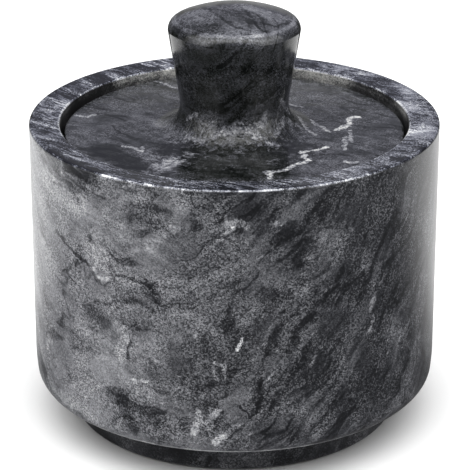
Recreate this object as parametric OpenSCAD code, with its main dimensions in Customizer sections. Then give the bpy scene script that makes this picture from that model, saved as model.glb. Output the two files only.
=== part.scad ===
// Round marble salt cellar: a thick-walled jar turned with its low foot from one block,
// a lid that drops into the mouth and carries its knob in one block, and small pads under
// the foot.
// The origin is the middle of the plane that the pads stand on. +Z is the turning axis.

/* [Jar] */
// Diameter of the jar
jar_d = 105; // [90:1:130]
// Height of the rim's outer edge above the table
rim_h = 80; // [66:1:100]
// Thickness of the wall at the rim
rim_wall = 7.8; // [6:0.1:10]
// How far the top of the rim falls from its outer edge to the mouth
rim_fall = 0.6; // [0.2:0.1:1.2]
// Rounding of the rim's outer edge
rim_edge_r = 0.8; // [0.4:0.1:1.5]
// Rounding of the mouth's edge and of the ledge's edge
mouth_edge_r = 0.6; // [0.3:0.1:1.2]
// Radius of the curve between the jar's side and its underside
heel_r = 4.4; // [2:0.1:8]

/* [Bowl] */
// Width of the ledge in the mouth that carries the lid
ledge_w = 3; // [2:0.5:5]
// Thickness of the stone between the bowl and the jar's underside
floor_t = 7; // [6:0.5:14]
// Radius of the curve between the bowl's wall and its floor
bowl_corner_r = 10; // [5:0.5:14]

/* [Foot] */
// How far the foot's side stands in from the jar's side
foot_inset = 10.2; // [8:0.1:14]
// Height of the foot, from its underside to the jar's underside
foot_h = 8.5; // [4:0.1:12]
// Rounding of the foot's lower edge
foot_edge_r = 0.8; // [0.3:0.1:1.5]

/* [Lid] */
// Thickness of the lid's disc
lid_t = 8; // [6:0.5:10]
// How far the lid's top lies below the rim's outer edge
lid_drop = 2.8; // [2:0.1:4]
// Clearance all round between the lid's edge and the mouth
lid_gap = 1.2; // [0.5:0.1:1.8]
// Rounding of the lid's upper and lower edges
lid_edge_r = 0.8; // [0.4:0.1:1.5]

/* [Knob] */
// Largest diameter of the knob, at its shoulder
knob_d = 33.7; // [28:0.1:40]
// Height of the knob above the lid's top
knob_h = 32.2; // [26:0.1:38]
// Height of the domed crown above the knob's shoulder
crown_rise = 5.9; // [4:0.1:8]
// Angle of the knob's side away from upright, in degrees
flank_deg = 9; // [4:1:14]
// Radius of the cove between the knob and the lid's top
cove_r = 7; // [4:0.5:9]
// Rounding between the knob's shoulder and its crown
shoulder_r = 3; // [1.5:0.1:3.8]

/* [Pads] */
// Number of pads under the foot
pad_count = 4; // [3:1:8]
// Diameter of a pad
pad_d = 10; // [7:0.5:12]
// Thickness of a pad
pad_t = 1.5; // [1.2:0.1:2.5]
// How far the pads stand out below the foot
pad_stand = 0.5; // [0.3:0.1:0.8]
// Distance from the foot's edge to the middle of a pad
pad_inset = 10.3; // [9:0.1:14]
// Clearance all round between a pad and its recess
pad_gap = 0.3; // [0.2:0.1:0.6]

/* [Hidden] */
$fn = 96;

// How far a cut runs past the surface that it opens
overrun = 2;

// Radii and heights of the jar
jar_r = jar_d / 2;
mouth_r = jar_r - rim_wall;
bowl_r = mouth_r - ledge_w;
foot_r = jar_r - foot_inset;
underside_z = pad_stand + foot_h;
floor_z = underside_z + floor_t;
mouth_h = rim_h - rim_fall;

// Radius and heights of the lid, which rests on the ledge
lid_r = mouth_r - lid_gap;
lid_top = rim_h - lid_drop;
seat_z = lid_top - lid_t;

// The knob is widest at its shoulder. An arc round shoulder_c leads from there to the crown.
knob_r = knob_d / 2;
knob_top = lid_top + knob_h;
shoulder_z = knob_top - crown_rise;
shoulder_c = [knob_r - shoulder_r, shoulder_z];

// The crown is part of a ball that the shoulder's arc touches from inside
crown_reach = knob_top - shoulder_r;
crown_c = [0, (crown_reach ^ 2 - shoulder_c.x ^ 2 - shoulder_z ^ 2) / (2 * (crown_reach - shoulder_z))];
crown_r = knob_top - crown_c.y;
crown_low = shoulder_c + shoulder_r * (shoulder_c - crown_c) / norm(shoulder_c - crown_c);

// The side runs straight down from the shoulder until it touches the cove's arc
side_out = [cos(flank_deg), -sin(flank_deg)];
cove_c = [
    knob_r + (cove_r + (shoulder_z - lid_top - cove_r) * side_out.y) / side_out.x,
    lid_top + cove_r
];
side_low = cove_c - cove_r * side_out;

// Place of the pads
pad_ring_r = foot_r - pad_inset;

// What a rounding of radius r takes off a corner of an outline. The corner points along
// out, such as [1, -1] for outwards and down.
module corner_cut(at, r, out) {
    translate(at - r * out)
        difference() {
            translate([min(0, out.x), min(0, out.y)] * (r + overrun)) square(r + overrun);
            circle(r);
        }
}

// One ring of discs, one for each pad
module pad_ring(r, z, h) {
    for (i = [0 : pad_count - 1])
        rotate([0, 0, 360 * i / pad_count])
            translate([pad_ring_r, 0, z])
                cylinder(r = r, h = h);
}

// Half of the jar's outer outline, with the foot
module jar_outline() {
    difference() {
        translate([0, underside_z]) square([jar_r, rim_h - underside_z]);
        corner_cut([jar_r, underside_z], heel_r, [1, -1]);
        corner_cut([jar_r, rim_h], rim_edge_r, [1, 1]);
    }
    difference() {
        translate([0, pad_stand]) square([foot_r, foot_h]);
        corner_cut([foot_r, pad_stand], foot_edge_r, [1, -1]);
    }
}

// Half outline of the space inside: the bowl, the ledge and the mouth
module hollow_outline() {
    difference() {
        translate([0, floor_z]) square([bowl_r, rim_h - floor_z]);
        corner_cut([bowl_r, floor_z], bowl_corner_r, [1, -1]);
    }
    translate([0, seat_z]) square([mouth_r, rim_h - seat_z]);
    corner_cut([mouth_r, mouth_h], mouth_edge_r, [-1, 1]);
    corner_cut([bowl_r, seat_z], mouth_edge_r, [-1, 1]);
    polygon([
        [0, mouth_h],
        [mouth_r + mouth_edge_r, mouth_h],
        [jar_r - rim_edge_r, rim_h],
        [jar_r - rim_edge_r, rim_h + overrun],
        [0, rim_h + overrun]
    ]);
}

module jar() {
    color("#4d4d50")
        difference() {
            rotate_extrude() difference() {
                jar_outline();
                hollow_outline();
            }
            pad_ring(pad_d / 2 + pad_gap, pad_stand - overrun, pad_t - pad_stand + overrun);
        }
}

// Half outline of the lid's disc
module disc_outline() {
    difference() {
        translate([0, seat_z]) square([lid_r, lid_t]);
        corner_cut([lid_r, lid_top], lid_edge_r, [1, 1]);
        corner_cut([lid_r, seat_z], lid_edge_r, [1, -1]);
    }
}

// Half outline of the knob, from the lid's top to the crown
module knob_outline() {
    difference() {
        polygon([[0, lid_top], [cove_c.x, lid_top], side_low, [knob_r, shoulder_z], [0, shoulder_z]]);
        translate(cove_c) circle(cove_r);
    }
    intersection() {
        translate([0, shoulder_z]) square([knob_r, crown_rise]);
        translate(shoulder_c) circle(shoulder_r);
    }
    intersection() {
        translate(crown_c) circle(crown_r);
        polygon([[0, shoulder_z], shoulder_c, crown_low, [crown_low.x, knob_top], [0, knob_top]]);
    }
}

module lid() {
    color("#3c3c40")
        rotate_extrude() {
            disc_outline();
            knob_outline();
        }
}

module pads() {
    color("#262628") pad_ring(pad_d / 2, 0, pad_t);
}

jar();
lid();
pads();
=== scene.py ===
# %% [markdown]
# # A salt cellar of dark marble
# The jar is one turned block of dark grey marble: a thick wall, a bowl, a ledge that carries the
# lid, and a low foot. The lid is a second, darker block: a disc that drops into the mouth, and a
# flared knob to lift it by. Four small rubber pads keep the stone off the table.
#
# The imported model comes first. It fixes every size and place, so each piece that is made below
# goes where that model says. Lengths are written in millimetres, as on a turner's drawing, and
# MM turns them to Blender's metres.

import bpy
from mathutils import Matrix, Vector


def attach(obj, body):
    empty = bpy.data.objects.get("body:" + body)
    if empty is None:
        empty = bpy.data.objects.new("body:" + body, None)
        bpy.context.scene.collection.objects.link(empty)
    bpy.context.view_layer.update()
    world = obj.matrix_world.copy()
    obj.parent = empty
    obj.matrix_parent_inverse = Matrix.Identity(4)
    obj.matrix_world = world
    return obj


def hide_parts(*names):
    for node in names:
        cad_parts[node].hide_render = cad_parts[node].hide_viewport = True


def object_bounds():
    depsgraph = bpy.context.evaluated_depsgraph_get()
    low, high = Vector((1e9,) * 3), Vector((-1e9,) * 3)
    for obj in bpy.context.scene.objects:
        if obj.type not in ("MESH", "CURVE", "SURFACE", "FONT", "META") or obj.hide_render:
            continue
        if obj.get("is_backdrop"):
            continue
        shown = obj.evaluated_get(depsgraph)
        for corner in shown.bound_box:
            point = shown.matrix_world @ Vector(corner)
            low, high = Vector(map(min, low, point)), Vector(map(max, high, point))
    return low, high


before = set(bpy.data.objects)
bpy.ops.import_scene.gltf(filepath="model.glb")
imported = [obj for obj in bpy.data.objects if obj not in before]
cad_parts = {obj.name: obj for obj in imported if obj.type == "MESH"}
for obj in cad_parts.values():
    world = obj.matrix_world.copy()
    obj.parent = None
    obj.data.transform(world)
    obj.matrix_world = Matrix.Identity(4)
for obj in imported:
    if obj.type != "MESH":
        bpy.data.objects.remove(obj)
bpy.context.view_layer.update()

MM = 0.001


def sides(low, high):
    return [round((end - start) / MM, 1) for start, end in zip(low, high)]


print("Its nodes are", sorted(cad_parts))

# %% [markdown]
# ## The camera
# The photograph was taken with a long lens from a little above, which keeps the sides of the jar
# almost parallel. The camera's place was worked out from the outlines of the rim, the lid, the
# knob and the heel, which only fit one height and one distance. A camera looks along its own -Z,
# so tipping it up from straight down by 90 degrees less the angle above level makes it look
# along +Y and slightly down.

# %% Camera
from math import cos, pi, radians, sin

import bmesh
import bpy
from mathutils import Matrix, Vector

ABOVE_LEVEL = radians(22.21)
DISTANCE = 627.4 * MM
LOOK_AT = Vector((0.17, 0, 47.25)) * MM
LENS, SENSOR = 183.9, 36

lens = bpy.data.cameras.new("long_lens")
lens.lens, lens.sensor_width = LENS, SENSOR
camera = bpy.data.objects.new("camera", lens)
camera.location = LOOK_AT + DISTANCE * Vector((0, -cos(ABOVE_LEVEL), sin(ABOVE_LEVEL)))
camera.rotation_euler = (pi / 2 - ABOVE_LEVEL, 0, 0)
bpy.context.collection.objects.link(camera)
bpy.context.scene.camera = camera
bpy.context.scene.view_settings.view_transform = "Standard"
print("The camera stands", round(camera.location.z / MM), "mm above the table")

# %% [markdown]
# ## Three helpers
# Colours are picked as sRGB hex values, but the renderer adds light, so it wants linear ones:
# one function does the change. The second adds a node, sets it and links it in one call, which
# keeps the longer patterns below readable. A value in its list can be a number, a node, whose
# first output is used, or one output of a node. The third makes an object of a finished bmesh.

# %% Helpers for colours, nodes and objects
def linear(code):
    parts = [int(code[place:place + 2], 16) / 255 for place in (1, 3, 5)]
    return [part / 12.92 if part <= 0.04045 else ((part + 0.055) / 1.055) ** 2.4 for part in parts] + [1]


def add(tree, kind, inputs=None, **settings):
    made = tree.nodes.new("ShaderNode" + kind)
    for name, value in settings.items():
        setattr(made, name, value)
    for socket, value in (inputs or {}).items():
        if isinstance(value, bpy.types.Node):
            value = value.outputs[0]
        if isinstance(value, bpy.types.NodeSocket):
            tree.links.new(value, made.inputs[socket])
        else:
            made.inputs[socket].default_value = value
    return made


def to_object(bm, name):
    mesh = bpy.data.meshes.new(name)
    bm.to_mesh(mesh)
    bm.free()
    made = bpy.data.objects.new(name, mesh)
    bpy.context.collection.objects.link(made)
    size = [round(side / MM, 1) for side in made.dimensions]
    print(name, "has", len(mesh.polygons), "faces and measures", size, "mm")
    return made


print("Mid grey is", round(linear("#808080")[0], 3), "in linear light")

# %% [markdown]
# ## The table
# A polished dark stone is mostly a mirror, so what stands round it matters as much as the lamp.
# Behind and beside the jar it sees the white table, which turns the jar's edges almost white. In
# front it sees dark cloth, and that keeps the front of the jar deep.
#
# The table is a matt white card that catches the jar's shadow. Under this lamp it would render
# light grey, so it also glows a little, up to white. A brighter lamp would do that too, but it
# would bleach the stone. The glow is only for the camera and for reflections, and it starts past
# the foot, where the shadow ends.

# %% The table's shape
TABLE_WIDTH, TABLE_DEPTH = 900 * MM, 4000 * MM


def flat_card(width, depth):
    bm = bmesh.new()
    bmesh.ops.create_grid(bm, x_segments=1, y_segments=1, size=0.5)
    bmesh.ops.scale(bm, vec=(width, depth, 1), verts=bm.verts[:])
    return bm


table = to_object(flat_card(TABLE_WIDTH, TABLE_DEPTH), "table")
table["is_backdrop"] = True

# %% The table's white card
TABLE_GLOW = 0.3
SHADOW_INNER, SHADOW_OUTER = 52 * MM, 69 * MM
FAR_START, FAR_END = 250 * MM, 900 * MM
CLOTH_START, CLOTH_FULL = 80 * MM, 10 * MM


def emptied(holder):
    holder.use_nodes = True
    holder.node_tree.nodes.clear()
    return holder.node_tree


def ray_kinds(tree):
    path = add(tree, "LightPath")
    mirrored = add(tree, "Math", {0: path.outputs["Is Glossy Ray"], 1: path.outputs["Is Transmission Ray"]},
                   operation="MAXIMUM")
    return path.outputs["Is Camera Ray"], mirrored


white_card = bpy.data.materials.new("white card")
tree = emptied(white_card)
by_camera, mirrored = ray_kinds(tree)
seen = add(tree, "Math", {0: by_camera, 1: mirrored}, operation="MAXIMUM")
table_spot = add(tree, "TexCoord").outputs["Object"]
reach = add(tree, "VectorMath", {0: table_spot}, operation="LENGTH").outputs["Value"]
fill = add(tree, "MapRange", {
    "Value": reach, "From Min": SHADOW_INNER, "From Max": SHADOW_OUTER, "To Max": TABLE_GLOW})
far = add(tree, "MapRange", {
    "Value": reach, "From Min": FAR_START, "From Max": FAR_END, "To Max": 1 - TABLE_GLOW})
fill = add(tree, "Math", {0: fill, 1: far}, operation="ADD")
card = add(tree, "BsdfDiffuse", {"Color": linear("#f7f7f7")})
glow = add(tree, "Emission", {"Strength": add(tree, "Math", {0: seen, 1: fill}, operation="MULTIPLY")})
lit_card = add(tree, "AddShader", {0: card, 1: glow})
cloth = add(tree, "Emission", {"Color": linear("#606060")})
table_y = add(tree, "SeparateXYZ", {0: table_spot}).outputs["Y"]
front = add(tree, "MapRange", {"Value": table_y, "From Min": CLOTH_START, "From Max": CLOTH_FULL})
dark = add(tree, "Math", {0: front, 1: mirrored}, operation="MULTIPLY")
add(tree, "OutputMaterial", {"Surface": add(tree, "MixShader", {0: dark, 1: lit_card, 2: cloth})})
table.data.materials.append(white_card)
print("The table's material has", len(tree.nodes), "nodes")

# %% [markdown]
# ## The room
# Three kinds of ray ask the world for light. The camera gets plain white, as a backdrop. Matt
# surfaces get a soft grey light that grows from the horizon upwards. Mirrors see a room: a grey
# wall, and a wide lamp whose picture makes the bright bands on the knob's shoulder, the cove and
# the rim.
#
# A bright rectangle would do for the lamp, but its picture can be shaped more finely from the
# ray's direction. Divided by its height, the direction gives the spot where the ray meets a
# ceiling one unit up. There the lamp ends a little behind the object and fades to both sides.
# Low down the ceiling is endlessly far off, so the height counts as a quarter at least.

# %% What a mirror sees: the wall
WALL_LOW, WALL_HIGH = "#86868c", "#7c7c8a"

world = bpy.data.worlds.new("studio")
bpy.context.scene.world = world
tree = emptied(world)
direction = add(tree, "TexCoord").outputs["Generated"]
axes = add(tree, "SeparateXYZ", {0: direction})
height = add(tree, "MapRange", {"Value": axes.outputs["Z"], "From Min": 0.04, "From Max": 0.26})
wall = add(tree, "Mix", {"Factor": height, "A": linear(WALL_LOW), "B": linear(WALL_HIGH)}, data_type="RGBA")
depth = add(tree, "MapRange", {"Value": axes.outputs["Y"], "From Min": -0.5, "From Max": 0.4, "To Min": 0.2})
high = add(tree, "MapRange", {
    "Value": axes.outputs["Z"], "From Min": 0.38, "From Max": 0.6, "To Min": 1.0, "To Max": 1.7})
high = add(tree, "Math", {0: high, 1: depth}, operation="MULTIPLY")
room = add(tree, "VectorMath", {0: wall.outputs["Result"], "Scale": high}, operation="SCALE")
print("The wall is", WALL_LOW, "low down and", WALL_HIGH, "higher up")

# %% What a mirror sees: the lamp
LAMP_GLEAM = 4.2
LAMP_TINT = (1, 1, 0.97)
LEAST_HEIGHT = 0.25

flat = add(tree, "Math", {0: axes.outputs["Z"], 1: LEAST_HEIGHT}, operation="MAXIMUM")
stretch = add(tree, "Math", {0: 1.0, 1: flat}, operation="DIVIDE")
over = add(tree, "VectorMath", {0: direction, "Scale": stretch}, operation="SCALE")
over = add(tree, "SeparateXYZ", {0: over})
aside = add(tree, "Math", {0: over.outputs["X"]}, operation="ABSOLUTE")
sideways = add(tree, "MapRange", {"Value": aside, "From Min": 4.6, "From Max": 1.8, "To Min": 0.25})
back = add(tree, "MapRange", {"Value": over.outputs["Y"], "From Min": 0.27, "From Max": 0.14})
front = add(tree, "MapRange", {"Value": axes.outputs["Y"], "From Min": -0.85, "From Max": -0.5})
# Straight overhead the lamp is dimmer
lit = add(tree, "MapRange", {
    "Value": axes.outputs["Y"], "From Min": -0.6, "From Max": -0.15, "To Min": 1.0, "To Max": 0.38})
for part in (back, sideways, front):
    lit = add(tree, "Math", {0: lit, 1: part}, operation="MULTIPLY")
lamp_light = [LAMP_GLEAM * part for part in LAMP_TINT] + [1]
gleam = add(tree, "Mix", {"Factor": lit, "A": room, "B": lamp_light}, data_type="RGBA")
print("The lamp's picture is", LAMP_GLEAM, "times as bright as white")

# %% Which ray gets which light
AMBIENT_LOW, AMBIENT_HIGH, AMBIENT_TOP = 0.12, 0.7, 0.6

by_camera, mirrored = ray_kinds(tree)
soft = add(tree, "MapRange", {
    "Value": axes.outputs["Z"], "From Max": AMBIENT_TOP, "To Min": AMBIENT_LOW, "To Max": AMBIENT_HIGH})
light = add(tree, "Mix", {"Factor": mirrored, "A": soft, "B": gleam.outputs["Result"]}, data_type="RGBA")
light = add(tree, "Mix", {
    "Factor": by_camera, "A": light.outputs["Result"], "B": linear("#ffffff")}, data_type="RGBA")
background = add(tree, "Background", {"Color": light.outputs["Result"]})
add(tree, "OutputWorld", {"Surface": background})
print("Matt surfaces get", AMBIENT_LOW, "at the horizon and", AMBIENT_HIGH, "from above")

# %% [markdown]
# ## The lamp
# The light itself comes from one large softbox above and a little in front of the object. A
# large lamp gives the soft shadow that hugs the foot. It is hidden from mirrors, because the
# room above already holds its picture, and two would double the gleam.

# %% Lamp
LAMP_WIDTH, LAMP_DEPTH = 1500 * MM, 1050 * MM
LAMP_PLACE = (0, -300 * MM, 750 * MM)
LAMP_WATTS = 10.5

softbox = bpy.data.lights.new("softbox", "AREA")
softbox.shape = "RECTANGLE"
softbox.size, softbox.size_y = LAMP_WIDTH, LAMP_DEPTH
softbox.energy = LAMP_WATTS
lamp = bpy.data.objects.new("softbox", softbox)
lamp.location = LAMP_PLACE
lamp.visible_glossy = False
bpy.context.collection.objects.link(lamp)
print("The lamp hangs", round(LAMP_PLACE[2] / MM), "mm above the table")

# %% [markdown]
# ## The grey card behind
# The lid's far half mirrors what stands low behind the jar. A long grey card there, dark towards
# its ends, keeps it from turning as white as the table. Only mirrors see the card. It is a mesh,
# not a band in the world, because it is near, so its picture moves over the lid.

# %% Grey card
CARD_WIDTH, CARD_HEIGHT = 1400 * MM, 150 * MM
CARD_PLACE = (0, 240 * MM, 76 * MM)
MIDDLE_GREY, END_GREY = 0.35, 0.05
GREY_INNER, GREY_OUTER = 30 * MM, 90 * MM

grey_card = bpy.data.materials.new("grey card")
tree = emptied(grey_card)
card_x = add(tree, "SeparateXYZ", {0: add(tree, "TexCoord").outputs["Object"]}).outputs["X"]
aside = add(tree, "Math", {0: card_x}, operation="ABSOLUTE")
grey = add(tree, "MapRange", {
    "Value": aside, "From Min": GREY_INNER, "From Max": GREY_OUTER,
    "To Min": MIDDLE_GREY, "To Max": END_GREY})
add(tree, "OutputMaterial", {"Surface": add(tree, "Emission", {"Strength": grey})})

bm = flat_card(CARD_WIDTH, CARD_HEIGHT)
bmesh.ops.rotate(bm, cent=(0, 0, 0), matrix=Matrix.Rotation(pi / 2, 3, "X"), verts=bm.verts[:])
bmesh.ops.translate(bm, vec=CARD_PLACE, verts=bm.verts[:])
low_card = to_object(bm, "low_card")
low_card.data.materials.append(grey_card)
low_card.visible_camera = low_card.visible_diffuse = low_card.visible_shadow = False
low_card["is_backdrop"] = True

# %% [markdown]
# ## Turned pieces
# A lathe cuts one outline all the way round, so half of that outline is all there is to draw. A
# cylinder that is cut and bevelled step by step would do as well, but an outline shows all radii
# and heights in one list: each corner has its distance from the axis, its height and its
# rounding, in millimetres.
#
# A vertex bevel rounds a corner. Its offset is the distance from the corner to where the arc
# begins: the radius times the tangent, sine over cosine, of half the outline's turn. A full spin
# with merged ends makes the body, and as both ends of the outline lie on the axis, merging
# doubles closes the poles.

# %% Helpers for turning
SPIN_STEPS = 256
ARC_STEP, LEAST_ARC_STEPS = radians(9), 3
WELD = 0.001


def draw_outline(bm, corners):
    places = [Vector((r, 0, z)) for r, z, _ in corners]
    points = [bm.verts.new(place) for place in places]
    for start, end in zip(points, points[1:]):
        bm.edges.new((start, end))
    for i, (_, _, rounding) in enumerate(corners):
        if rounding:
            turn = (places[i] - places[i - 1]).angle(places[i + 1] - places[i])
            reach = rounding * sin(turn / 2) / cos(turn / 2)
            segments = max(LEAST_ARC_STEPS, round(turn / ARC_STEP))
            bmesh.ops.bevel(bm, geom=[points[i]], offset=reach, offset_type="OFFSET", segments=segments,
                            profile=0.5, affect="VERTICES", material=-1)
    return points[-1]


def turn_on_lathe(bm, name):
    bmesh.ops.spin(bm, geom=bm.verts[:] + bm.edges[:], cent=(0, 0, 0), axis=(0, 0, 1), dvec=(0, 0, 0),
                   angle=2 * pi, steps=SPIN_STEPS, use_merge=True, use_duplicate=False)
    bmesh.ops.remove_doubles(bm, verts=bm.verts[:], dist=WELD)
    bmesh.ops.recalc_face_normals(bm, faces=bm.faces[:])
    for face in bm.faces:
        face.smooth = True
    bmesh.ops.scale(bm, vec=(MM, MM, MM), verts=bm.verts[:])
    return to_object(bm, name)


print("A turned piece has", SPIN_STEPS, "steps round the axis")

# %% [markdown]
# ## The jar
# On the real jar a hollow drill and a boring bar cut the bowl out of the block, and the lathe
# turns the outside. The wall is 7.8 mm thick at the rim, and the rim's top falls a little
# towards the mouth. The side is polished with a soft pad, which drags the round of the heel up
# the wall, so the side leans in very slightly for the last few millimetres before the heel.

# %% Jar
JAR_R, RIM_Z, RIM_FALL, WALL = 52.5, 80.0, 0.6, 7.8
RIM_ROUND, MOUTH_ROUND = 0.8, 0.6
MOUTH_R = JAR_R - WALL
LEDGE_WIDTH, SEAT_Z, FLOOR_Z, BOWL_ROUND = 3.0, 69.2, 16.0, 10
BOWL_R = MOUTH_R - LEDGE_WIDTH
UNDER_Z, HEEL_ROUND = 9.0, 4.2
LEAN_IN, LEAN_HEIGHT, LEAN_ROUND = 0.6, 8, 40
FOOT_R, FOOT_Z, FOOT_ROUND = 42.3, 0.5, 0.8

bm = bmesh.new()
draw_outline(bm, [
    (0, FLOOR_Z, 0),
    (BOWL_R, FLOOR_Z, BOWL_ROUND),
    (BOWL_R, SEAT_Z, MOUTH_ROUND),
    (MOUTH_R, SEAT_Z, 0),
    (MOUTH_R, RIM_Z - RIM_FALL, MOUTH_ROUND),
    (JAR_R, RIM_Z, RIM_ROUND),
    (JAR_R, UNDER_Z + LEAN_HEIGHT, LEAN_ROUND),
    (JAR_R - LEAN_IN, UNDER_Z, HEEL_ROUND),
    (FOOT_R, UNDER_Z, 0),
    (FOOT_R, FOOT_Z, FOOT_ROUND),
    (0, FOOT_Z, 0),
])
jar = turn_on_lathe(bm, "marble_jar")
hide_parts("jar")
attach(jar, "jar")

# %% [markdown]
# ## The lid
# The disc rests on the ledge in the mouth. Its knob leaves the disc in a wide cove, leans out by
# nine degrees and ends in a shoulder and a low dome. The straight parts and the cove are an
# outline, as on the jar. The shoulder and the dome are arcs, and a point that is spun about the
# middle of an arc draws it.

# %% Lid
LID_R, LID_T, LID_ROUND, COVE_ROUND = 43.5, 8.0, 0.8, 7
LID_TOP = SEAT_Z + LID_T
KNOB_R, KNOB_TOP, LEAN = 16.85, 109.4, radians(9)
SHOULDER_Z, SHOULDER_ROUND, KNOB_ARC_STEPS = 103.5, 3.0, 8

neck_r = KNOB_R - (SHOULDER_Z - LID_TOP) * sin(LEAN) / cos(LEAN)
shoulder = Vector((KNOB_R - SHOULDER_ROUND, 0, SHOULDER_Z))
# The shoulder's arc touches the dome's ball from inside, so both middles and that point line up
reach = KNOB_TOP - SHOULDER_ROUND
dome = Vector((0, 0, (reach ** 2 - shoulder.x ** 2 - SHOULDER_Z ** 2) / (2 * (reach - SHOULDER_Z))))
shoulder_turn = Vector((1, 0, 0)).angle(shoulder - dome)

bm = bmesh.new()
tip = draw_outline(bm, [
    (0, SEAT_Z, 0),
    (LID_R, SEAT_Z, LID_ROUND),
    (LID_R, LID_TOP, LID_ROUND),
    (neck_r, LID_TOP, COVE_ROUND),
    (KNOB_R, SHOULDER_Z, 0),
])
for middle, angle in ((shoulder, shoulder_turn), (dome, pi / 2 - shoulder_turn)):
    arc = bmesh.ops.spin(bm, geom=[tip], cent=middle, axis=(0, -1, 0), angle=angle, steps=KNOB_ARC_STEPS)
    tip = arc["geom_last"][0]
lid = turn_on_lathe(bm, "marble_lid")
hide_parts("lid")
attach(lid, "lid")

# %% [markdown]
# ## The pads and their recesses
# Four moulded rubber discs sit in shallow recesses in the foot, so that the stone doesn't
# scratch the table. A disc is a cylinder with its upper and lower edges rounded by a bevel. The
# same discs, a little wider, cut the recesses: a Boolean modifier takes them out of the jar. Its
# result becomes the jar's own mesh, so that the cutter can be deleted and later steps can look
# at the finished faces.

# %% Pads
PAD_COUNT, PAD_RING, PAD_R, PAD_T = 4, 32.0, 5.0, 1.5
PAD_ROUND, PAD_ROUND_STEPS, PAD_SEGMENTS = 0.3, 3, 64
LEVEL = 0.01


def ring_of_discs(name, r, low, high, rounding):
    bm = bmesh.new()
    outwards = Matrix.Translation((PAD_RING, 0, (low + high) / 2))
    for turn in range(PAD_COUNT):
        place = Matrix.Rotation(turn * 2 * pi / PAD_COUNT, 4, "Z") @ outwards
        bmesh.ops.create_cone(bm, cap_ends=True, segments=PAD_SEGMENTS, radius1=r, radius2=r,
                              depth=high - low, matrix=place)
    if rounding:
        rims = [edge for edge in bm.edges if abs(edge.verts[0].co.z - edge.verts[1].co.z) < LEVEL]
        bmesh.ops.bevel(bm, geom=rims, offset=rounding, offset_type="OFFSET", segments=PAD_ROUND_STEPS,
                        profile=0.5, affect="EDGES", material=-1)
    bmesh.ops.scale(bm, vec=(MM, MM, MM), verts=bm.verts[:])
    return to_object(bm, name)


pads = ring_of_discs("rubber_pads", PAD_R, 0, PAD_T, PAD_ROUND)
for face in pads.data.polygons:
    face.use_smooth = True
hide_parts("pads")
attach(pads, "jar")

# %% Recesses
PAD_GAP, OVERRUN = 0.3, 2

cutter = ring_of_discs("pad_cutter", PAD_R + PAD_GAP, FOOT_Z - OVERRUN, PAD_T, 0)
cut = jar.modifiers.new("pad recesses", "BOOLEAN")
cut.operation, cut.solver, cut.object = "DIFFERENCE", "EXACT", cutter
cut_jar = bpy.data.meshes.new_from_object(jar.evaluated_get(bpy.context.evaluated_depsgraph_get()))
jar.modifiers.remove(cut)
jar.data = cut_jar
bpy.data.objects.remove(cutter)
print("With its recesses the jar has", len(jar.data.polygons), "faces")

# %% [markdown]
# ## Shading
# Smooth shading rounds every corner, also where a flat face meets a curve. Marking sharp edges
# would draw a hard line there, which ground stone doesn't have. Weighted normals are softer:
# they keep the large flat faces flat and leave the turn to the small faces of the roundings.

# %% Weighted normals
for piece in (jar, lid, pads):
    even = piece.modifiers.new("flat faces stay flat", "WEIGHTED_NORMAL")
    even.keep_sharp = True
    print(piece.name, "keeps its flat faces flat")

# %% [markdown]
# ## Marble as a solid
# Marble is limestone that was pressed and heated until it grew into small crystals. Its colour
# runs through the block, so every pattern here is a solid one in Object coordinates, and the cut
# surface only shows a slice of it. A picture laid round the jar would be easier, but it would
# show seams and stretch on the rim. Dark marble carries its graphite in beds: thin, wavy layers
# that all lean the same way. On a round jar such beds show as streaks that rise steeply to one
# side of the front and fall to the other, which is what the real jar does.
#
# Each pattern adds to one number, the shade, which a colour ramp of the stone's own greys turns
# to colour at the end. The shade is counted as the eye sees it: 0 is black and 1 is white. Sizes
# are in millimetres, so the coordinates are turned to millimetres first.

# %% Helpers that bend and stretch a pattern
BED_UP = Vector((-0.8, -1.2, 1.0)).normalized()


def blank(name):
    made = bpy.data.materials.new(name)
    tree = emptied(made)
    place = add(tree, "TexCoord").outputs["Object"]
    return made, tree, add(tree, "VectorMath", {0: place, "Scale": 1 / MM}, operation="SCALE")


def warped(tree, points, size, amount):
    """Points pushed about in waves of the given size."""
    drift = add(tree, "TexNoise", {"Vector": points, "Scale": 1 / size, "Detail": 2.0}).outputs["Color"]
    drift = add(tree, "VectorMath", {0: drift, 1: (0.5, 0.5, 0.5)}, operation="SUBTRACT")
    drift = add(tree, "VectorMath", {0: drift, "Scale": amount}, operation="SCALE")
    return add(tree, "VectorMath", {0: points, 1: drift}, operation="ADD")


def bedded(tree, points, along, across):
    """Points for a pattern that is long along the beds and thin across them."""
    layer = add(tree, "VectorMath", {0: points, 1: BED_UP}, operation="DOT_PRODUCT").outputs["Value"]
    layer = add(tree, "Math", {0: layer, 1: 1 / across - 1 / along}, operation="MULTIPLY")
    squeeze = add(tree, "VectorMath", {0: BED_UP, "Scale": layer}, operation="SCALE")
    return add(tree, "VectorMath", {0: points, 1: (1 / along,) * 3, 2: squeeze}, operation="MULTIPLY_ADD")


def vary(tree, shade, pattern, amount):
    """Shade made lighter and darker by a pattern whose middle is a half."""
    middle = add(tree, "Math", {0: pattern, 1: 0.5}, operation="SUBTRACT")
    return add(tree, "Math", {0: middle, 1: amount, 2: shade}, operation="MULTIPLY_ADD")


def put_on(tree, shade, mask, amount):
    """Shade with an amount added where the mask is 1."""
    return add(tree, "Math", {0: mask, 1: amount, 2: shade}, operation="MULTIPLY_ADD")


print("The beds lean", round(BED_UP.angle(Vector((0, 0, 1))) * 180 / pi), "degrees from level")

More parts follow.
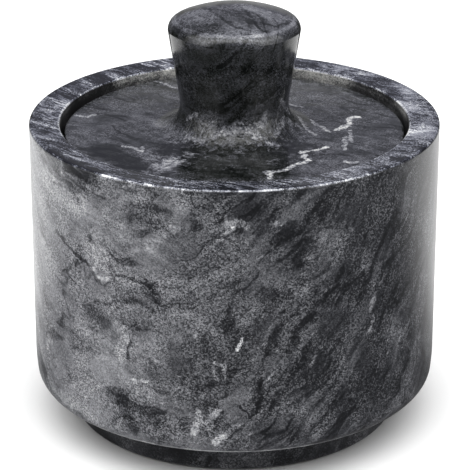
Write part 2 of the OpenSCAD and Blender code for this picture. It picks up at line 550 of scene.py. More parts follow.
# %% [markdown]
# ## The patterns of the block
# Three sizes of pattern make the ground of the stone: clouds about a thumb's width across, thin
# beds, and dark seams of graphite where the beds fold. Seams are kept to the darker clouds, as in
# the real stone. Over them lie the finest ones, white flecks of pure calcite and the crystals
# themselves.
#
# A crystal of this marble is about a third of a millimetre wide. That is about one pixel in the
# photograph, so it is drawn at its real size and gives the salt and pepper of the surface.

# %% Clouds, beds and seams
FOLD, FOLD_PUSH = 26, 16
CLOUD, CLOUD_WAVE, CLOUD_PUSH = 12, 6, 4
BED_LONG, BED_THIN = 26, 2.2
SEAM_LONG, SEAM_THIN, SEAM_WAVE, SEAM_PUSH = 34, 5, 5, 3


def block(tree, points, shade, cloud, bed, seam):
    rolled = warped(tree, points, FOLD, FOLD_PUSH)
    clouds = add(tree, "TexNoise", {
        "Vector": warped(tree, rolled, CLOUD_WAVE, CLOUD_PUSH), "Scale": 1 / CLOUD, "Detail": 6.0,
        "Roughness": 0.62})
    shade = vary(tree, shade, clouds, cloud)
    beds = add(tree, "TexNoise", {
        "Vector": bedded(tree, rolled, BED_LONG, BED_THIN), "Scale": 1.0, "Detail": 5.0, "Roughness": 0.6})
    shade = vary(tree, shade, beds, bed)
    folds = add(tree, "TexNoise", {
        "Vector": bedded(tree, warped(tree, rolled, SEAM_WAVE, SEAM_PUSH), SEAM_LONG, SEAM_THIN),
        "Scale": 1.0, "Detail": 2.0, "Roughness": 0.5})
    # Where a noise crosses its middle value, it does so along a thin line: that line is the seam
    gap = add(tree, "Math", {0: folds, 1: 0.5}, operation="SUBTRACT")
    gap = add(tree, "Math", {0: gap}, operation="ABSOLUTE")
    line = add(tree, "MapRange", {"Value": gap, "From Min": 0.034, "From Max": 0.008})
    kept = add(tree, "MapRange", {"Value": clouds, "From Min": 0.56, "From Max": 0.46})
    line = add(tree, "Math", {0: line, 1: kept}, operation="MULTIPLY")
    return put_on(tree, shade, line, seam)


print("Clouds of", CLOUD, "mm, beds of", BED_THIN, "mm, seams", SEAM_THIN, "mm apart")

# %% Crystals and flecks
CRYSTAL, CLEAR_PATCH = 0.3, 8
FLECK_LONG, FLECK_THIN, FLECK_PATCH = 2.4, 1.2, 11


def crystals(tree, points):
    cells = add(tree, "TexVoronoi", {"Vector": points, "Scale": 1 / CRYSTAL}).outputs["Color"]
    cells = add(tree, "SeparateColor", {0: cells}).outputs["Red"]
    clear = add(tree, "TexNoise", {"Vector": points, "Scale": 1 / CLEAR_PATCH, "Detail": 3.0})
    clear = add(tree, "MapRange", {"Value": clear, "From Min": 0.4, "From Max": 0.55, "To Min": 0.45})
    cells = add(tree, "Math", {0: cells, 1: 0.5}, operation="SUBTRACT")
    return add(tree, "Math", {0: cells, 1: clear}, operation="MULTIPLY")


def flecks(tree, points, shade, amount):
    specks = add(tree, "TexNoise", {
        "Vector": bedded(tree, points, FLECK_LONG, FLECK_THIN), "Scale": 1.0, "Detail": 3.0,
        "Roughness": 0.7})
    specks = add(tree, "MapRange", {"Value": specks, "From Min": 0.6, "From Max": 0.72})
    kept = add(tree, "TexNoise", {"Vector": points, "Scale": 1 / FLECK_PATCH, "Detail": 1.0})
    kept = add(tree, "MapRange", {"Value": kept, "From Min": 0.48, "From Max": 0.62})
    specks = add(tree, "Math", {0: specks, 1: kept}, operation="MULTIPLY")
    return put_on(tree, shade, specks, amount)


print("Crystals of", CRYSTAL, "mm, and flecks of", FLECK_THIN, "by", FLECK_LONG, "mm")

# %% [markdown]
# ## Veins and blots
# The marks that make this jar this one can't be left to chance, so they are listed one by one. A crack that
# healed with white calcite is a vein, and a place where the beds were crushed is a blot. Both are drawn the
# same way: a broken line in space, each point's distance from it, and a width. The points are pushed about a
# little first, which tears the outline as a crack's is torn.

# %% Helpers for marks
RAGGED, TEAR, TEAR_PUSH, FRAY, FRAY_PUSH, BREAK = 0.9, 3, 2.4, 0.7, 0.9, 0.8


def near(tree, points, paths, width):
    gaps = []
    for path in paths:
        path = [Vector(place) for place in path]
        for start, end in zip(path, path[1:]):
            run = end - start
            here = add(tree, "VectorMath", {0: points, 1: start}, operation="SUBTRACT")
            share = add(tree, "VectorMath", {0: here, 1: run / run.length_squared}, operation="DOT_PRODUCT")
            share = add(tree, "Clamp", {"Value": share.outputs["Value"]})
            there = add(tree, "VectorMath", {0: run, "Scale": share}, operation="SCALE")
            gap = add(tree, "VectorMath", {0: here, 1: there}, operation="DISTANCE")
            gaps.append(gap.outputs["Value"])
    least = gaps[0]
    for gap in gaps[1:]:
        least = add(tree, "Math", {0: least, 1: gap}, operation="MINIMUM")
    ragged = add(tree, "TexNoise", {"Vector": points, "Scale": 1 / RAGGED, "Detail": 2.0, "Roughness": 0.7})
    least = vary(tree, least, ragged, 0.9 * width)
    return add(tree, "MapRange", {"Value": least, "From Min": 0.6 * width, "From Max": 0.35 * width})


def marked(tree, points, shade, marks):
    torn = warped(tree, warped(tree, points, TEAR, TEAR_PUSH), FRAY, FRAY_PUSH)
    broken = add(tree, "TexNoise", {"Vector": points, "Scale": 1 / BREAK, "Detail": 2.0, "Roughness": 0.8})
    broken = add(tree, "MapRange", {"Value": broken, "From Min": 0.36, "From Max": 0.56, "To Min": 0.25})
    for width, change, paths in marks:
        strength = near(tree, torn, paths, width)
        if change > 0:
            strength = add(tree, "Math", {0: strength, 1: broken}, operation="MULTIPLY")
        shade = put_on(tree, shade, strength, change)
    return shade


print("Marks are torn by", TEAR_PUSH, "mm and frayed by", FRAY_PUSH, "mm")

# %% [markdown]
# ## Wear and painted highlights along the edges
# A turned edge of marble is never quite whole: crystals break out of it, and the broken ones scatter light,
# so a thin, nicked, pale line runs along each edge. The same lines are also painted highlights, where the
# rounded edges catch the light. A point's distance from an edge is the same all round the axis, so it is
# measured on the profile, which has only a radius and a height. On the rim's outer edge the line is
# strongest at the front left, where the arris faces the light, and gone behind, so there it is mostly a
# painted highlight. The line along the heel is wider.

# %% Helpers for edges
NICK = 1.6
HIGHLIGHT_TURN = radians(18)
HIGHLIGHT_SIDE = (-sin(HIGHLIGHT_TURN), -cos(HIGHLIGHT_TURN), 0)
HIGHLIGHT_START, HIGHLIGHT_FULL = 20, 47


def profile_of(tree, points):
    flat = add(tree, "VectorMath", {0: points, 1: (1, 1, 0)}, operation="MULTIPLY")
    r = add(tree, "VectorMath", {0: flat}, operation="LENGTH").outputs["Value"]
    return add(tree, "CombineXYZ", {"X": r, "Z": add(tree, "SeparateXYZ", {0: points}).outputs["Z"]})


def wear_and_highlight(tree, points, shade, edges):
    profile = profile_of(tree, points)
    nicks = add(tree, "TexNoise", {"Vector": points, "Scale": 1 / NICK, "Detail": 3.0, "Roughness": 0.7})
    nicks = add(tree, "MapRange", {"Value": nicks, "From Min": 0.36, "From Max": 0.56, "To Min": 0.55})
    facing = add(tree, "VectorMath", {0: points, 1: HIGHLIGHT_SIDE}, operation="DOT_PRODUCT").outputs["Value"]
    for r, z, width, amount, behind in edges:
        gap = add(tree, "VectorMath", {0: profile, 1: (r, 0, z)}, operation="DISTANCE").outputs["Value"]
        edge = add(tree, "MapRange", {"Value": gap, "From Min": width, "From Max": 0.55 * width})
        edge = add(tree, "Math", {0: edge, 1: nicks}, operation="MULTIPLY")
        # Painted highlight: where the share left behind is below 1, the line fades away from the front left.
        highlit = add(tree, "MapRange", {
            "Value": facing, "From Min": HIGHLIGHT_START, "From Max": HIGHLIGHT_FULL, "To Min": behind})
        edge = add(tree, "Math", {0: edge, 1: highlit}, operation="MULTIPLY")
        shade = put_on(tree, shade, edge, amount)
    return shade


print("Nicks of", NICK, "mm")

# %% Edges, worn and painted with highlights: radius, height, width, how much lighter, and the share left behind
JAR_EDGES = (
    (JAR_R, RIM_Z, 0.6, 0.64, 0.0),
    (MOUTH_R, RIM_Z - RIM_FALL, 0.6, 0.28, 1.0),
    (JAR_R - 3, UNDER_Z + 0.5, 1.8, 0.5, 1.0),
)
LID_EDGES = (
    (LID_R, LID_TOP, 0.6, 0.12, 1.0),
    (15.2, 105.9, 0.8, 0.15, 1.0),
)
print("The jar has", len(JAR_EDGES), "worn edges and the lid", len(LID_EDGES))

# %% [markdown]
# ## The greys of the stone
# One block of stone looks different where it is worked differently. Raw, it is pale, because
# every scratch scatters white light. Honed and waxed it darkens, ground finely it turns a little
# blue, and polished it is darkest. So each finish has its own ramp, from the graphite to the
# pure calcite, and all of them share the patterns above.

# %% Greys, from dark to light
HONED = (
    (0.0, "#16171a"), (0.12, "#232428"), (0.24, "#3b3c40"), (0.42, "#696a6e"), (0.6, "#97989c"),
    (0.8, "#c9cacb"), (1.0, "#f4f4f3"),
)
GROUND = (
    (0.0, "#0f1014"), (0.12, "#202228"), (0.24, "#393b43"), (0.42, "#676973"), (0.6, "#9597a0"),
    (0.8, "#c8cace"), (1.0, "#f4f4f3"),
)
POLISHED = (
    (0.0, "#080a09"), (0.12, "#1d1f1e"), (0.24, "#3a3b3f"), (0.42, "#696a70"), (0.6, "#97989c"),
    (0.8, "#cbcbca"), (1.0, "#f6f6f3"),
)
RAW = ((0.0, "#0a0a0b"), (0.2, "#39393b"), (0.5, "#8b8b8a"), (1.0, "#e6e5e0"))


def greys(tree, shade, stone):
    ramp = add(tree, "ValToRGB", {"Fac": shade})
    stops = ramp.color_ramp.elements
    for place, code in stone[1:-1]:
        stops.new(place)
    for stop, (place, code) in zip(stops, stone):
        stop.position = place
        stop.color = linear(code)
    return ramp


print("Polished stone runs from", POLISHED[0][1], "to", POLISHED[-1][1])

# %% The surface of worked stone
# Calcite has an index of about 1.5 to 1.66, but the film of wax or oil in its pores is what the
# light meets first, and that is 1.44. Bored stone is dry, and too rough for the index to show.
WAX_IOR = 1.44


def stone_surface(tree, shade, stone, roughness, relief):
    shader = add(tree, "BsdfPrincipled", {
        "Base Color": greys(tree, shade, stone), "IOR": WAX_IOR, "Roughness": roughness, "Normal": relief})
    add(tree, "OutputMaterial", {"Surface": shader})
    print("The finish has", len(tree.nodes), "nodes")


# %% [markdown]
# ## The jar's side
# Marble, honed with fine grit and then waxed: the stone keeps a soft sheen, not a mirror, so its
# roughness is a little under 0.3. Each crystal takes the wax its own way, and the crystals stand
# out of the wax by a hundredth of a millimetre, which breaks the sheen up. A glossy coat over a
# matt base would look wetter than this stone does, so one plain layer was chosen. The marks are
# placed by their angle from the front and their height.

# %% Marks on the side
def side(angle, height):
    return (JAR_R * sin(radians(angle)), -JAR_R * cos(radians(angle)), height)


WHITE_CLOTS = (2.2, 0.34, (
    (side(-2, 71), side(1, 71.5), side(3, 71)),
    (side(-9, 21), side(-10, 18), side(-11, 16)),
    (side(-3, 15), side(-5, 13)),
    (side(-5, 22), side(-7, 18)),
))
PALE_CLOTS = (3.2, 0.16, (
    (side(-33, 41), side(-31, 38.5), side(-32, 33)),
    (side(-23, 64), side(-20, 67), side(-17, 69)),
    (side(27, 17), side(24, 15), side(23, 13)),
))
WHITE_THREADS = (1.2, 0.28, (
    (side(-4, 67), side(-2, 69), side(0, 70)),
    (side(-5, 35), side(-2.5, 34.5), side(-2.5, 31)),
    (side(-5, 33), side(-4.5, 30.5)),
    (side(-28, 27.6), side(-24.5, 27.4)),
    (side(-40, 53), side(-36, 53)),
    (side(41, 47), side(40, 44)),
    (side(41, 42), side(40, 38)),
    (side(22, 35), side(21, 33)),
    (side(-42, 55), side(-41, 54)),
))
BRIGHT_THREAD = (0.9, 0.6, ((side(2.2, 42), side(0.6, 38.2)),))
PALE_CLOUDS = (5.5, 0.12, (
    (side(-62, 73), side(-55, 72), side(-46, 70)),
    (side(30, 67), side(25, 65), side(21, 62)),
    (side(66, 44), side(64, 34), side(60, 22), side(52, 14)),
))
LOW_CLOUD = (8.0, 0.06, ((side(30, 13), side(46, 14), side(58, 15)),))
DARK_CLOUDS = (9.0, -0.09, (
    (side(-9, 78), side(8, 77)),
    (side(-15, 36), side(-7, 38)),
    (side(28, 42), side(20, 33)),
    (side(66, 78), side(64, 62)),
    (side(-9, 19), side(-20, 30)),
))
DARK_BLOTS = (4.0, -0.16, (
    (side(-51, 79), side(-46, 79), side(-40, 78)),
    (side(8, 53), side(10, 52.5)),
    (side(12, 67), side(15, 70.5)),
    (side(17, 61), side(20, 65)),
    (side(-44, 43), side(-40, 42), side(-37, 41)),
    (side(-1, 45), side(0, 40)),
    (side(-32, 21), side(-31, 18), side(-29, 14)),
    (side(-23, 53), side(-21, 51)),
))
GREY_SEAMS = (1.6, -0.14, (
    (side(46, 65), side(42, 59), side(40, 55), side(36, 48)),
    (side(56, 59), side(49, 56), side(44, 54), side(42, 49)),
    (side(30, 57), side(28, 53), side(24, 50), side(20, 46), side(16, 41)),
    (side(20, 39), side(18, 33), side(14, 29)),
    (side(26, 79), side(22, 75), side(17, 68)),
))
BLACK_SEAMS = (0.9, -0.24, (
    (side(-57, 60), side(-50, 57), side(-42, 55)),
    (side(-33, 55), side(-28, 55), side(-24, 54), side(-21, 52)),
    (side(-29, 38), side(-30, 33)),
    (side(2, 23), side(4, 20), side(6, 22), side(7, 29), side(7, 31)),
))
JAR_MARKS = (
    WHITE_CLOTS, PALE_CLOTS, WHITE_THREADS, BRIGHT_THREAD, PALE_CLOUDS, LOW_CLOUD, DARK_CLOUDS,
    DARK_BLOTS, GREY_SEAMS, BLACK_SEAMS,
)
print("The side has", sum(len(paths) for _, _, paths in JAR_MARKS), "marks")

# %% Side of the jar
LEFT_X, RIGHT_X, LEFT_SHADE, RIGHT_SHADE = -40, 26, 0.48, 0.19

honed, tree, points = blank("dark grey marble, honed and waxed")
across = add(tree, "SeparateXYZ", {0: warped(tree, points, FOLD, FOLD_PUSH)}).outputs["X"]
shade = add(tree, "MapRange", {
    "Value": across, "From Min": LEFT_X, "From Max": RIGHT_X, "To Min": LEFT_SHADE, "To Max": RIGHT_SHADE})
shade = block(tree, points, shade, cloud=0.5, bed=0.45, seam=-0.16)
shade = flecks(tree, points, shade, 0.3)
shade = marked(tree, points, shade, JAR_MARKS)
grain = crystals(tree, points)
shade = put_on(tree, shade, grain, 0.42)
shade = wear_and_highlight(tree, points, shade, JAR_EDGES)
pits = add(tree, "Bump", {"Height": grain, "Strength": 0.5, "Distance": 0.01 * MM})
stone_surface(tree, shade, HONED, 0.28, pits)

# %% [markdown]
# ## The rim
# The top of the rim was ground flat on a wheel and waxed. It cuts straight through the beds, so they show as
# fine stripes here, where the side only grazes them, and the grinding leaves the soft stripes a few
# hundredths of a millimetre lower. That gives the eye a silky, slightly blue band with broken highlights.
# The front is the darkest part of it, and both ends are painted lighter, as sheen.

# %% Marks on the rim
def rim(x, y):
    return (x, y, RIM_Z)


RIM_MARKS = (
    (6.0, -0.16, (
        (rim(-38.8, 33.4), rim(-36.7, 33.4), rim(-33.9, 26.7)),
        (rim(37.8, 28.4), rim(39.8, 25), rim(41.5, 17.7)),
    )),
    (4.0, -0.3, (
        (rim(-45.4, -25.6), rim(-43.3, -31.3)),
        (rim(-40.5, -33.4), rim(-37.3, -37.5), rim(-33.6, -39.6)),
        (rim(46.2, -22.8), rim(47.7, -25.6)),
        (rim(40, -29.9), rim(42.4, -31.3)),
    )),
    (3.5, 0.4, ((rim(-23.6, 43.8), rim(-20.2, 42), rim(-17.2, 39.4)),)),
    (6.0, 0.16, (
        (rim(-49.8, 4.1), rim(-46.7, 0.3)),
        (rim(43.9, 7.3), rim(50.4, 4.1)),
        (rim(43.9, -8.1), rim(48.2, -8.1)),
        (rim(-43.6, -22.8), rim(-37.3, -29.9)),
    )),
    # Painted highlight: a pale line along the rim's outer edge at the front left.
    (1.4, 0.28, ((rim(-31.6, -41.9), rim(-26.2, -45.4), rim(-20.3, -48.3)),)),
)
print("The rim has", sum(len(paths) for _, _, paths in RIM_MARKS), "marks")

# %% Rim
STRIPE_LONG, STRIPE_THIN, STRIPE_WAVE, STRIPE_PUSH = 9, 0.9, 9, 4
RIM_FRONT_X, RIM_END_X, RIM_DARK, RIM_END_SHEEN = 6, 42, 0.14, 0.37

ground, tree, points = blank("dark grey marble, ground and waxed")
across = add(tree, "SeparateXYZ", {0: warped(tree, points, FOLD, FOLD_PUSH)}).outputs["X"]
# Both ends are painted lighter, as sheen. The left end counts half as far out as the right one, so it stays
# darker
leftwards = add(tree, "Math", {0: across, 1: -0.5}, operation="MULTIPLY")
aside = add(tree, "Math", {0: across, 1: leftwards}, operation="MAXIMUM")
shade = add(tree, "MapRange", {
    "Value": aside, "From Min": RIM_FRONT_X, "From Max": RIM_END_X, "To Min": RIM_DARK, "To Max": RIM_END_SHEEN})
shade = block(tree, points, shade, cloud=1.1, bed=0.6, seam=-0.16)
stripes = add(tree, "TexNoise", {
    "Vector": bedded(tree, warped(tree, points, STRIPE_WAVE, STRIPE_PUSH), STRIPE_LONG, STRIPE_THIN),
    "Scale": 1.0, "Detail": 3.0, "Roughness": 0.65})
contrast = add(tree, "MapRange", {
    "Value": aside, "From Min": 2 * RIM_FRONT_X, "From Max": RIM_END_X, "To Min": 1.7, "To Max": 0.9})
shade = vary(tree, shade, stripes, contrast)
shade = marked(tree, points, shade, RIM_MARKS)
grain = crystals(tree, points)
shade = put_on(tree, shade, grain, 0.6)
shade = wear_and_highlight(tree, points, shade, JAR_EDGES)
furrows = add(tree, "Bump", {"Height": stripes, "Strength": 0.6, "Distance": 0.04 * MM})
stone_surface(tree, shade, GROUND, 0.25, furrows)

# %% [markdown]
# ## The bored inside, the ledge and the underside
# Where no one polishes, marble stays as the tool left it: pale, dry and faintly ringed, which the eye reads
# as rough at once. The rings are the feed of the tool. A real one is a quarter of a millimetre, too fine to
# show, so they are drawn 0.7 mm apart. A noise that only looks at the distance from the axis and the height
# draws rings, because both stay the same all the way round. The back of the bore is paler stone and is also
# painted lighter where the lamp reaches it, and its sides are painted dark, as shade. From the lid's top
# down, everything in this finish is painted darker, as shade for the narrow gap round the lid.

# %% Bored stone
TOOL_RING = 0.7


def tool_rings(tree, points):
    return add(tree, "TexNoise", {
        "Vector": profile_of(tree, points), "Scale": 1 / TOOL_RING, "Detail": 3.0, "Roughness": 0.6})


bored, tree, points = blank("dark grey marble, bored and left raw")
place = add(tree, "SeparateXYZ", {0: points})
# Painted light and shade: the back of the bore is paler stone and is also painted lighter, the sides are
# painted dark, and the right wall is a little paler.
back = add(tree, "MapRange", {
    "Value": place.outputs["Y"], "From Min": 26, "From Max": 40, "To Min": 0.08, "To Max": 0.7})
right = add(tree, "MapRange", {"Value": place.outputs["X"], "From Min": 15, "From Max": 35, "To Max": 0.3})
shade = add(tree, "Math", {0: back, 1: right}, operation="MAXIMUM")
shade = block(tree, points, shade, cloud=1.0, bed=0.6, seam=-0.1)
shade = marked(tree, points, shade, RIM_MARKS)
# Painted shade: darker from the lid's top down, for the shade in the gap round the lid. The bowl, the ledge
# and the underside get it too.
painted_gap_shade = add(tree, "MapRange", {"Value": place.outputs["Z"], "From Min": LID_TOP + 0.9, "From Max": LID_TOP})
shade = put_on(tree, shade, painted_gap_shade, -0.18)
grain = crystals(tree, points)
shade = put_on(tree, shade, grain, 0.4)
rings = tool_rings(tree, points)
shade = vary(tree, shade, rings, 0.2)
tooled = add(tree, "Bump", {"Height": rings, "Strength": 0.8, "Distance": 0.08 * MM})
stone_surface(tree, shade, RAW, 0.7, tooled)

# %% [markdown]
# ## The foot
# The foot's side is turned and only wiped with oil, so it is duller than the wall above it, and its rings
# are shallower than the bore's. It lies in the jar's shade, and its stone is also painted dark all round, as
# painted shade: it is a little darker than the wall's dark right side, while the wall is much lighter on the
# left.

# %% Foot
foot, tree, points = blank("dark grey marble, turned and oiled, painted dark as shade")
# Painted shade: the foot's stone is set dark all round, for the shade under the heel.
shade = block(tree, points, 0.17, cloud=0.9, bed=0.5, seam=-0.1)
grain = crystals(tree, points)
shade = put_on(tree, shade, grain, 0.4)
turned = add(tree, "Bump", {"Height": tool_rings(tree, points), "Strength": 0.4, "Distance": 0.03 * MM})
stone_surface(tree, shade, HONED, 0.35, turned)

# %% [markdown]
# ## Which face has which finish
# The jar is one mesh, because it is one stone. Its faces are sorted by where they lie and where
# they look: up on the rim, inside or flat underneath, on the foot, and the side for all others.

# %% Sort the jar's faces
finishes = (honed, ground, bored, foot)
for finish in finishes:
    jar.data.materials.append(finish)
for face in jar.data.polygons:
    r, z = face.center.xy.length / MM, face.center.z / MM
    inside = r < MOUTH_R + 0.7 and z > UNDER_Z + 1
    underneath = z < UNDER_Z + 0.1 and face.normal.z < -0.9
    if z > RIM_Z - RIM_FALL - RIM_ROUND and face.normal.z > 0.5:
        face.material_index = finishes.index(ground)
    elif inside or underneath:
        face.material_index = finishes.index(bored)
    elif z < UNDER_Z and r < FOOT_R + 0.1:
        face.material_index = finishes.index(foot)
for place, finish in enumerate(finishes):
    print(finish.name, "covers", sum(face.material_index == place for face in jar.data.polygons), "faces")

# %% [markdown]
# ## The lid
# The lid is cut from a darker part of the stone and polished until it mirrors the room: the roughness is
# only 0.12. Thick white veins cross it, and round the foot of the knob the beds are crushed into light
# crumbs. A polisher's wheel doesn't reach into the cove, so it stays a little rougher and uneven there, and
# the lamp's picture breaks into small streaks. Along the foot of the cove these are also painted in as light
# glints, and the crumbs there are partly painted glints too. A mirror also shows every wave of the surface,
# so the whole lid gets a ripple of a few hundredths of a millimetre.

# %% Marks on the lid's disc
def top(x, y):
    return (x, y, LID_TOP)


THICK_VEINS = (1.6, 0.6, (
    (top(23.5, -15.3), top(18.6, -17.9), top(17.1, -18.6), top(17.5, -22.9), top(18.4, -25),
     top(14.2, -28.5), top(11.9, -32), top(8.2, -32.7), top(8.9, -37)),
    (top(32.3, 7.7), top(29.7, 6.9), top(29.8, 2.2), top(26.2, -2.3)),
))
THIN_VEINS = (1.2, 0.35, (
    (top(28.1, -7.6), top(27.4, -17)),
    (top(29.5, -3), top(29.4, -11.3)),
    (top(19.6, 5.3), top(21.5, 1.5), top(24.4, -3.8)),
    (top(27.5, -25.7), top(30.2, -26.4)),
    (top(-21.2, 37), top(-18.7, 34.4), top(-15.1, 30.2)),
    (top(-41.2, 9.2), top(-38, 7.7), top(-36.2, 9.2)),
    (top(-28.2, -14.2), top(-25.9, -15), top(-23.1, -17.9), top(-22.9, -15)),
    (top(17.8, 15.5), top(14.7, 18)),
))
WHITE_BLOT = (5.5, 0.32, ((top(-19.8, -32.7), top(-17, -27.8), top(-12, -21)),))
PALE_STREAKS = (4.0, 0.1, (
    (top(-20.5, 5), top(-18, 0), top(-15.5, -5)),
    (top(-16, -8), top(-12, -15)),
))
# Painted reflection: the disc in front of the knob is darkened where it mirrors the dark knob.
PAINTED_KNOB_REFLECTION = (13.0, -0.15, (
    (top(-13, -18), top(-8, -22), top(0, -24), top(9, -22), top(14, -17)),
    (top(-9, -32), top(9, -31)),
))
DARK_LEFT = (8.0, -0.14, (
    (top(-26, -29), top(-20, -34)),
    (top(-33, -16), top(-27, -24)),
))
CRUSHED = ((top(-14, -20), top(0, -25), top(14, -19)),)
print("The disc has", len(THICK_VEINS[2] + THIN_VEINS[2]), "veins")

# %% Marks on the knob and its cove; the crumbs along the cove are partly painted glints
COVE_CRUMBS_AND_GLINTS = (1.9, 0.24, (
    ((-10.1, -13.1, 78.7), (-7.9, -14.2, 78.9), (-5.6, -14.7, 79.5)),
    ((-5.1, -14.8, 79.5), (-3.1, -14.5, 80.7), (-0.3, -14.5, 81.3), (1.4, -13.9, 82.9)),
    ((2.9, -14.2, 81.2), (4.4, -14.4, 80.2), (5.9, -14.3, 79.6)),
    ((7.9, -14.1, 79), (9.2, -15, 78), (10.9, -14.7, 77.6)),
    ((10.7, -12, 79.1), (11.3, -9.8, 80.4), (12, -7.7, 81.8), (14.1, -5.1, 80.3), (16.2, -2.9, 78.7)),
    ((6.4, -12.7, 82), (7.2, -11.9, 83.3), (7.7, -11.5, 84.8)),
))
COVE_THREADS = (1.3, 0.34, (
    ((11.7, -8.2, 87.6), (13.1, -4.6, 84.2), (14.2, -2.4, 81.6)),
    ((16.5, 6, 78.1), (18.3, -2, 77.6), (20.5, -6, 77.2)),
    ((-11.7, -7.8, 82.4), (-9.7, -10, 83.9)),
))
COVE_CLOUDS = (7.0, 0.1, (
    ((-7.1, -12.2, 82.3), (-4.6, -13.1, 83.7), (-1.6, -14, 82.4)),
    ((4.4, -13.2, 83.2), (6.9, -12.1, 84.9), (9, -10.9, 82.4)),
))
# Pale stone and painted highlight: a light streak at the front of the shoulder, where the lamp's gleam is
# brightest.
SHOULDER_STREAK_AND_HIGHLIGHT = (2.5, 0.1, (((-0.5, -15.6, 105.7), (4, -15.1, 105.7)),))
CROWN_CLOUDS = (5.0, 0.12, (
    ((2, 1, 109), (8.4, -3.8, 108), (13, -3.4, 107)),
    ((-2.8, -13.3, 107), (0.9, -11.5, 107.5), (4.6, -13.5, 106.6)),
    ((-11, 1, 107.7), (-7, -5, 108.3)),
))
CROWN_SEAMS = (1.0, -0.14, (
    ((-8.3, 3, 108.4), (-4.8, -4.3, 108.8), (-1.1, -10, 108), (1.4, -12.4, 107.3)),
    ((1.4, 1.2, 109.4), (3.9, -5.5, 108.8), (6.3, -11.9, 106.9), (8.3, -12.5, 106.3)),
    ((6.4, -8.3, 107.9), (10.5, -8.9, 106.8), (14.5, -3.3, 106.3)),
))
CROWN_SHADE = (5.0, -0.12, (((-14.5, -7.3, 105.7), (-11, -10.1, 106.3), (-4.8, -11.9, 107.1)),))
GLINT_ARC = (
    ((-14.2, -10.1, 78.1), (-9.9, -12.7, 79), (-6.6, -14.5, 79.2)),
    ((-5.6, -14.7, 79.5), (-2.1, -14.9, 80.4), (0.4, -14.2, 82)),
    ((2.9, -14.6, 80.5), (5.9, -14.8, 79.3), (8.9, -15.1, 78)),
    ((11.8, -7.4, 84.9), (11.5, -8.6, 81.6), (14.6, -5.7, 79.5), (17.2, -5.5, 77.8)),
)
LID_MARKS = (
    THICK_VEINS, THIN_VEINS, WHITE_BLOT, SHOULDER_STREAK_AND_HIGHLIGHT, COVE_CRUMBS_AND_GLINTS, COVE_THREADS, PALE_STREAKS,
    COVE_CLOUDS, PAINTED_KNOB_REFLECTION, DARK_LEFT, CROWN_CLOUDS, CROWN_SEAMS, CROWN_SHADE,
)
print("The lid has", sum(len(paths) for _, _, paths in LID_MARKS), "marks")

# %% The lid's shade: a lighter crown as painted sheen, the disc, and a darker knob side as painted shade
MOTTLE, MOTTLE_WAVE, MOTTLE_PUSH = 4.5, 4, 3
CROWN_BASE_WITH_SHEEN, DISC_BASE, KNOB_PAINTED_SHADE = 0.255, 0.23, -0.09

polished, tree, points = blank("black marble, polished")
height = add(tree, "SeparateXYZ", {0: warped(tree, points, 9, 5)}).outputs["Z"]
above = add(tree, "MapRange", {"Value": height, "From Min": LID_TOP + 0.3, "From Max": LID_TOP + 3})
below = add(tree, "MapRange", {"Value": height, "From Min": SHOULDER_Z + 1.5, "From Max": SHOULDER_Z - 2})
# Painted sheen and shade: the crown is set a little lighter than the disc, and the knob's side between them
# darker.
shade = add(tree, "MapRange", {"Value": below, "To Min": CROWN_BASE_WITH_SHEEN, "To Max": DISC_BASE})
knob_side_shade = add(tree, "Math", {0: above, 1: below}, operation="MULTIPLY")
shade = put_on(tree, shade, knob_side_shade, KNOB_PAINTED_SHADE)
shade = block(tree, points, shade, cloud=0.25, bed=0.28, seam=-0.14)
mottle = add(tree, "TexNoise", {
    "Vector": warped(tree, points, MOTTLE_WAVE, MOTTLE_PUSH), "Scale": 1 / MOTTLE, "Detail": 5.0,
    "Roughness": 0.62})
mottled = add(tree, "MapRange", {"Value": below, "To Min": 0.22, "To Max": 0.38})
shade = vary(tree, shade, mottle, mottled)
shade = marked(tree, points, shade, LID_MARKS)
print("The lid's ground is mottled at", MOTTLE, "mm")

# %% The lid's crushed stone, painted glints in the cove, and edges worn and painted with highlights
CRUMB, CRUSHED_WIDTH = 1.6, 20
GLINT, GLINT_WIDTH = 2.6, 4.5

crackle = add(tree, "TexNoise", {
    "Vector": warped(tree, points, 2, 2.5), "Scale": 1 / CRUMB, "Detail": 4.0, "Roughness": 0.7})
crushed = near(tree, points, CRUSHED, CRUSHED_WIDTH)
crushed = add(tree, "Math", {0: crushed, 1: 1.1}, operation="MULTIPLY")
shade = vary(tree, shade, crackle, crushed)
# Painted highlights: light glints along the foot of the cove, where the lamp's picture breaks up.
glint_noise = add(tree, "TexNoise", {
    "Vector": warped(tree, points, 3, 5), "Scale": 1 / GLINT, "Detail": 4.0, "Roughness": 0.65})
painted_glints = add(tree, "MapRange", {"Value": glint_noise, "From Min": 0.5, "From Max": 0.66})
in_arc = near(tree, warped(tree, points, 5, 3), GLINT_ARC, GLINT_WIDTH)
painted_glints = add(tree, "Math", {0: painted_glints, 1: in_arc}, operation="MULTIPLY")
shade = put_on(tree, shade, painted_glints, 0.16)
shade = put_on(tree, shade, crystals(tree, points), 0.26)
shade = wear_and_highlight(tree, points, shade, LID_EDGES)
print("Crumbs of", CRUMB, "mm in front of the knob, flames of", GLINT, "mm in the cove")

# %% The lid's polish
COVE_LOW, COVE_HIGH = LID_TOP + 0.05, LID_TOP + 13
OPEN_ROUGHNESS, COVE_ROUGHNESS = 0.12, 0.17
RIPPLE, RIPPLE_DEPTH = 5, 0.06 * MM
HOLLOW, HOLLOW_DEPTH = 2.2, 0.5 * MM

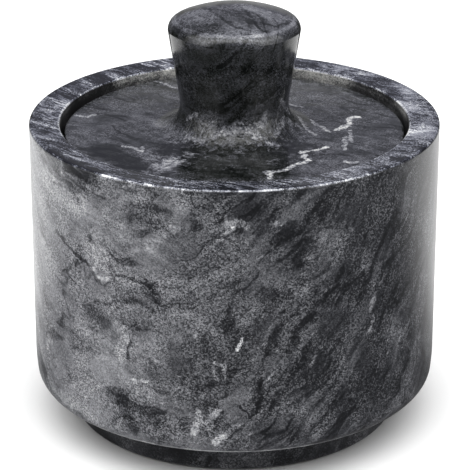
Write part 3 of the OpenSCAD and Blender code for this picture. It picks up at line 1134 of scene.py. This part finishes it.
height = add(tree, "SeparateXYZ", {0: points}).outputs["Z"]
foot_of_cove = add(tree, "MapRange", {"Value": height, "From Min": COVE_LOW, "From Max": LID_TOP + 0.6})
top_of_cove = add(tree, "MapRange", {"Value": height, "From Min": COVE_HIGH, "From Max": LID_TOP + 6})
cove = add(tree, "Math", {0: foot_of_cove, 1: top_of_cove}, operation="MULTIPLY")
roughness = add(tree, "MapRange", {"Value": cove, "To Min": OPEN_ROUGHNESS, "To Max": COVE_ROUGHNESS})
ripple = add(tree, "TexNoise", {"Vector": points, "Scale": 1 / RIPPLE, "Detail": 1.0})
ripple = add(tree, "Bump", {"Height": ripple, "Strength": 1.0, "Distance": RIPPLE_DEPTH})
hollows = add(tree, "TexNoise", {
    "Vector": warped(tree, points, 3, 5), "Scale": 1 / HOLLOW, "Detail": 2.0, "Roughness": 0.45})
uneven = add(tree, "Bump", {"Height": hollows, "Strength": cove, "Distance": HOLLOW_DEPTH, "Normal": ripple})
stone_surface(tree, shade, POLISHED, roughness, uneven)
lid.data.materials.append(polished)

# %% [markdown]
# ## The rubber of the pads
# Moulded synthetic rubber with a matt skin, whose index is about 1.52. It is one even grey, so
# the dust that sticks to it and the pebbles of the mould are all there is to see, and they
# keep the discs from looking like painted card. Real pebbles are a tenth of a millimetre wide,
# too fine to show, so they are drawn 0.4 mm wide.

# %% Rubber
PEBBLE, PEBBLE_DEPTH, DUST = 0.4, 0.03 * MM, 3
RUBBER_IOR, RUBBER_ROUGHNESS = 1.52, 0.7

rubber, tree, points = blank("moulded rubber")
skin = add(tree, "TexVoronoi", {"Vector": points, "Scale": 1 / PEBBLE})
dust = add(tree, "TexNoise", {"Vector": points, "Scale": 1 / DUST, "Detail": 4.0, "Roughness": 0.7})
tint = add(tree, "Mix", {"Factor": dust, "A": linear("#1f1f21"), "B": linear("#363639")}, data_type="RGBA")
pebbled = add(tree, "Bump", {
    "Height": skin.outputs["Distance"], "Strength": 0.5, "Distance": PEBBLE_DEPTH})
matt = add(tree, "BsdfPrincipled", {
    "Base Color": tint.outputs["Result"], "IOR": RUBBER_IOR, "Roughness": RUBBER_ROUGHNESS,
    "Normal": pebbled})
add(tree, "OutputMaterial", {"Surface": matt})
pads.data.materials.append(rubber)
print("The rubber is pebbled at", PEBBLE, "mm")

# %% [markdown]
# ## The finished size
# The last step prints the box of what was made here.

# %% Sizes
low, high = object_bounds()
print("The finished piece measures", sides(low, high), "mm")
